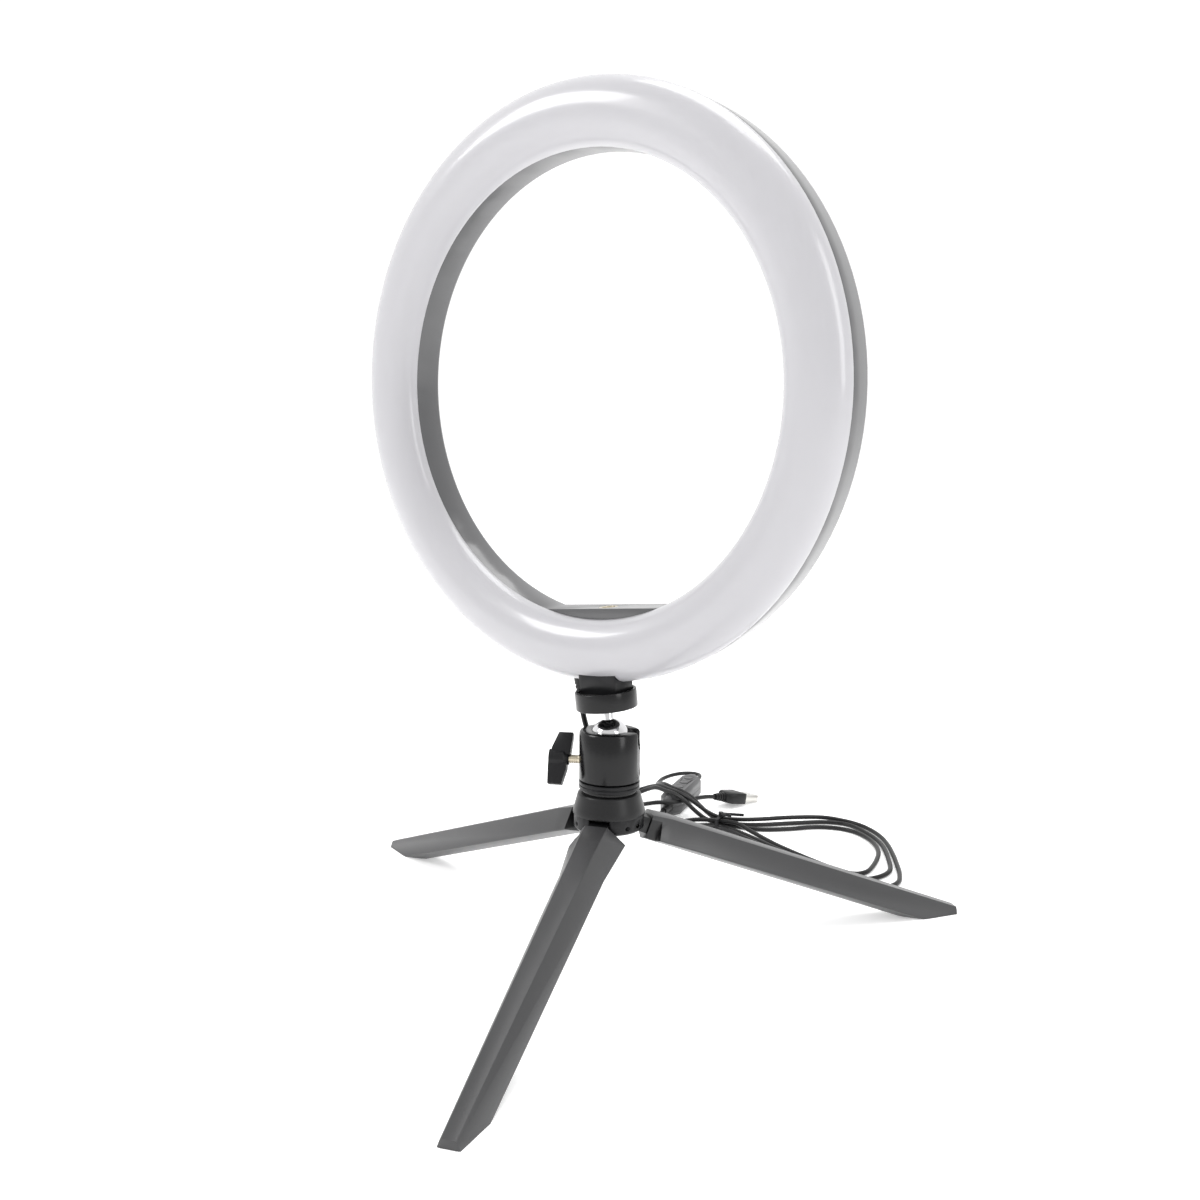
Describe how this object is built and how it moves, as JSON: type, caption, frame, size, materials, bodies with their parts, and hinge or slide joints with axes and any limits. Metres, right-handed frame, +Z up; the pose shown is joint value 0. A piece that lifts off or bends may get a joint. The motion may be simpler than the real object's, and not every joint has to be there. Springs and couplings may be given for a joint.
{
  "type": "ring light",
  "caption": "Ring light with a half-round diffuser on a ball head and a folding three-leg table tripod, with its USB lead, in-line controller and plug.",
  "frame": {"origin": "on the floor under the middle of the standing light's box, measured without the lead", "axes": "+Z up, the light's lit face looks along -Y, +X to the right seen from behind it; one leg points to the front and one to each side"},
  "size_m": [0.2901, 0.4166, 0.3799],
  "materials": {
    "milky_plastic": "translucent white, satin",
    "black_plastic": "black, satin",
    "circuit_board": "white solder mask",
    "led_package": "yellow phosphor under clear resin",
    "wire_red": "insulated wire",
    "steel": "zinc plated",
    "brass": "machined",
    "black_anodised": "black, smooth, glossy",
    "collar_black": "black, satin",
    "chrome_ball": "polished",
    "black_rubber": "matte",
    "white_nylon": "natural nylon",
    "grey_plastic": "mid grey, satin",
    "dark_grey_plastic": "dark grey, satin",
    "black_pvc": "black flexible PVC",
    "green_board": "green solder mask"
  },
  "bodies": {
    "base": {"hub_top": "dark_grey_plastic", "leg_carrier": "black_plastic", "hub_stud": "steel", "hub_screws": "steel", "pin_front": "steel", "pin_right": "steel", "pin_left": "steel", "lead_riser_low": "black_pvc", "lead_hank": "black_pvc", "lead_arch": "black_pvc", "lead_tail": "black_pvc", "lead_loop": "black_pvc", "lead_to_plug": "black_pvc", "controller_base": "grey_plastic", "controller_cover": "grey_plastic", "controller_board": "green_board", "controller_boot_in": "black_pvc", "controller_boot_out": "black_pvc", "plug_body": "dark_grey_plastic", "plug_boot": "dark_grey_plastic", "plug_shell": "steel", "plug_tongue": "circuit_board", "twist_tie": "black_plastic"},
    "head": {"head_body": "black_anodised", "ball_seat": "white_nylon", "seat_screw": "steel", "collar_band": "collar_black", "head_base": "black_anodised", "lead_riser_mid": "black_pvc"},
    "ball": {"ball_and_stem": "chrome_ball", "top_plate": "black_anodised", "plate_pad": "black_rubber", "thread_stud": "steel"},
    "light": {"diffuser": "milky_plastic", "rear_housing": "black_plastic", "led_board": "circuit_board", "leds": "led_package", "led_wires": "wire_red", "housing_screws": "steel", "platform_insert": "brass", "connector_block": "black_plastic", "connector_insert": "brass", "cable_gland": "black_rubber", "lead_riser_top": "black_pvc"},
    "clamp_knob": {"clamp_knob": "black_plastic", "clamp_screw": "brass"},
    "leg_front": {"leg_front": "grey_plastic"},
    "leg_right": {"leg_right": "grey_plastic"},
    "leg_left": {"leg_left": "grey_plastic"},
    "power_button": {"power_button": "dark_grey_plastic"},
    "colour_button": {"colour_button": "dark_grey_plastic"},
    "brighter_button": {"brighter_button": "dark_grey_plastic"},
    "dimmer_button": {"dimmer_button": "dark_grey_plastic"}
  },
  "joints": [
    {"name": "head_turn", "type": "hinge", "parent": "base", "child": "head", "pos_m": [0.02889, 0.01528, 0.0705], "axis": [0, 0, 1], "range_deg": [-90, 90], "deforming": ["lead_riser_low"]},
    {"name": "ball_tilt", "type": "hinge", "parent": "head", "child": "ball", "pos_m": [0.02889, 0.01528, 0.0955], "axis": [-0.5, 0.866, 0], "range_deg": [-24, 66], "deforming": ["lead_riser_mid"]},
    {"name": "light_turn", "type": "hinge", "parent": "ball", "child": "light", "pos_m": [0.02889, 0.01528, 0.0955], "axis": [-0.0905, -0.0523, 0.9945], "range_deg": [-90, 90], "deforming": ["lead_riser_top"]},
    {"name": "clamp_turn", "type": "hinge", "parent": "head", "child": "clamp_knob", "pos_m": [0.02889, 0.01528, 0.0847], "axis": [0.866, 0.5, 0], "range_deg": [-360, 0]},
    {"name": "leg_front_fold", "type": "hinge", "parent": "base", "child": "leg_front", "pos_m": [0.03248, 0.00541, 0.057], "axis": [0.9397, 0.342, 0], "range_deg": [0, 70]},
    {"name": "leg_right_fold", "type": "hinge", "parent": "base", "child": "leg_right", "pos_m": [0.03564, 0.02332, 0.057], "axis": [-0.766, 0.6428, 0], "range_deg": [0, 70]},
    {"name": "leg_left_fold", "type": "hinge", "parent": "base", "child": "leg_left", "pos_m": [0.01855, 0.0171, 0.057], "axis": [-0.1736, -0.9848, 0], "range_deg": [0, 70]},
    {"name": "power_press", "type": "slide", "parent": "base", "child": "power_button", "axis": [0, 0, -1], "range_m": [0, 0.0006], "stiffness_N_per_m": 800, "springref_m": -0.0005},
    {"name": "colour_press", "type": "slide", "parent": "base", "child": "colour_button", "axis": [0, 0, -1], "range_m": [0, 0.0006], "stiffness_N_per_m": 800, "springref_m": -0.0005},
    {"name": "brighter_press", "type": "slide", "parent": "base", "child": "brighter_button", "axis": [0, 0, -1], "range_m": [0, 0.0006], "stiffness_N_per_m": 800, "springref_m": -0.0005},
    {"name": "dimmer_press", "type": "slide", "parent": "base", "child": "dimmer_button", "axis": [0, 0, -1], "range_m": [0, 0.0006], "stiffness_N_per_m": 800, "springref_m": -0.0005}
  ]
}
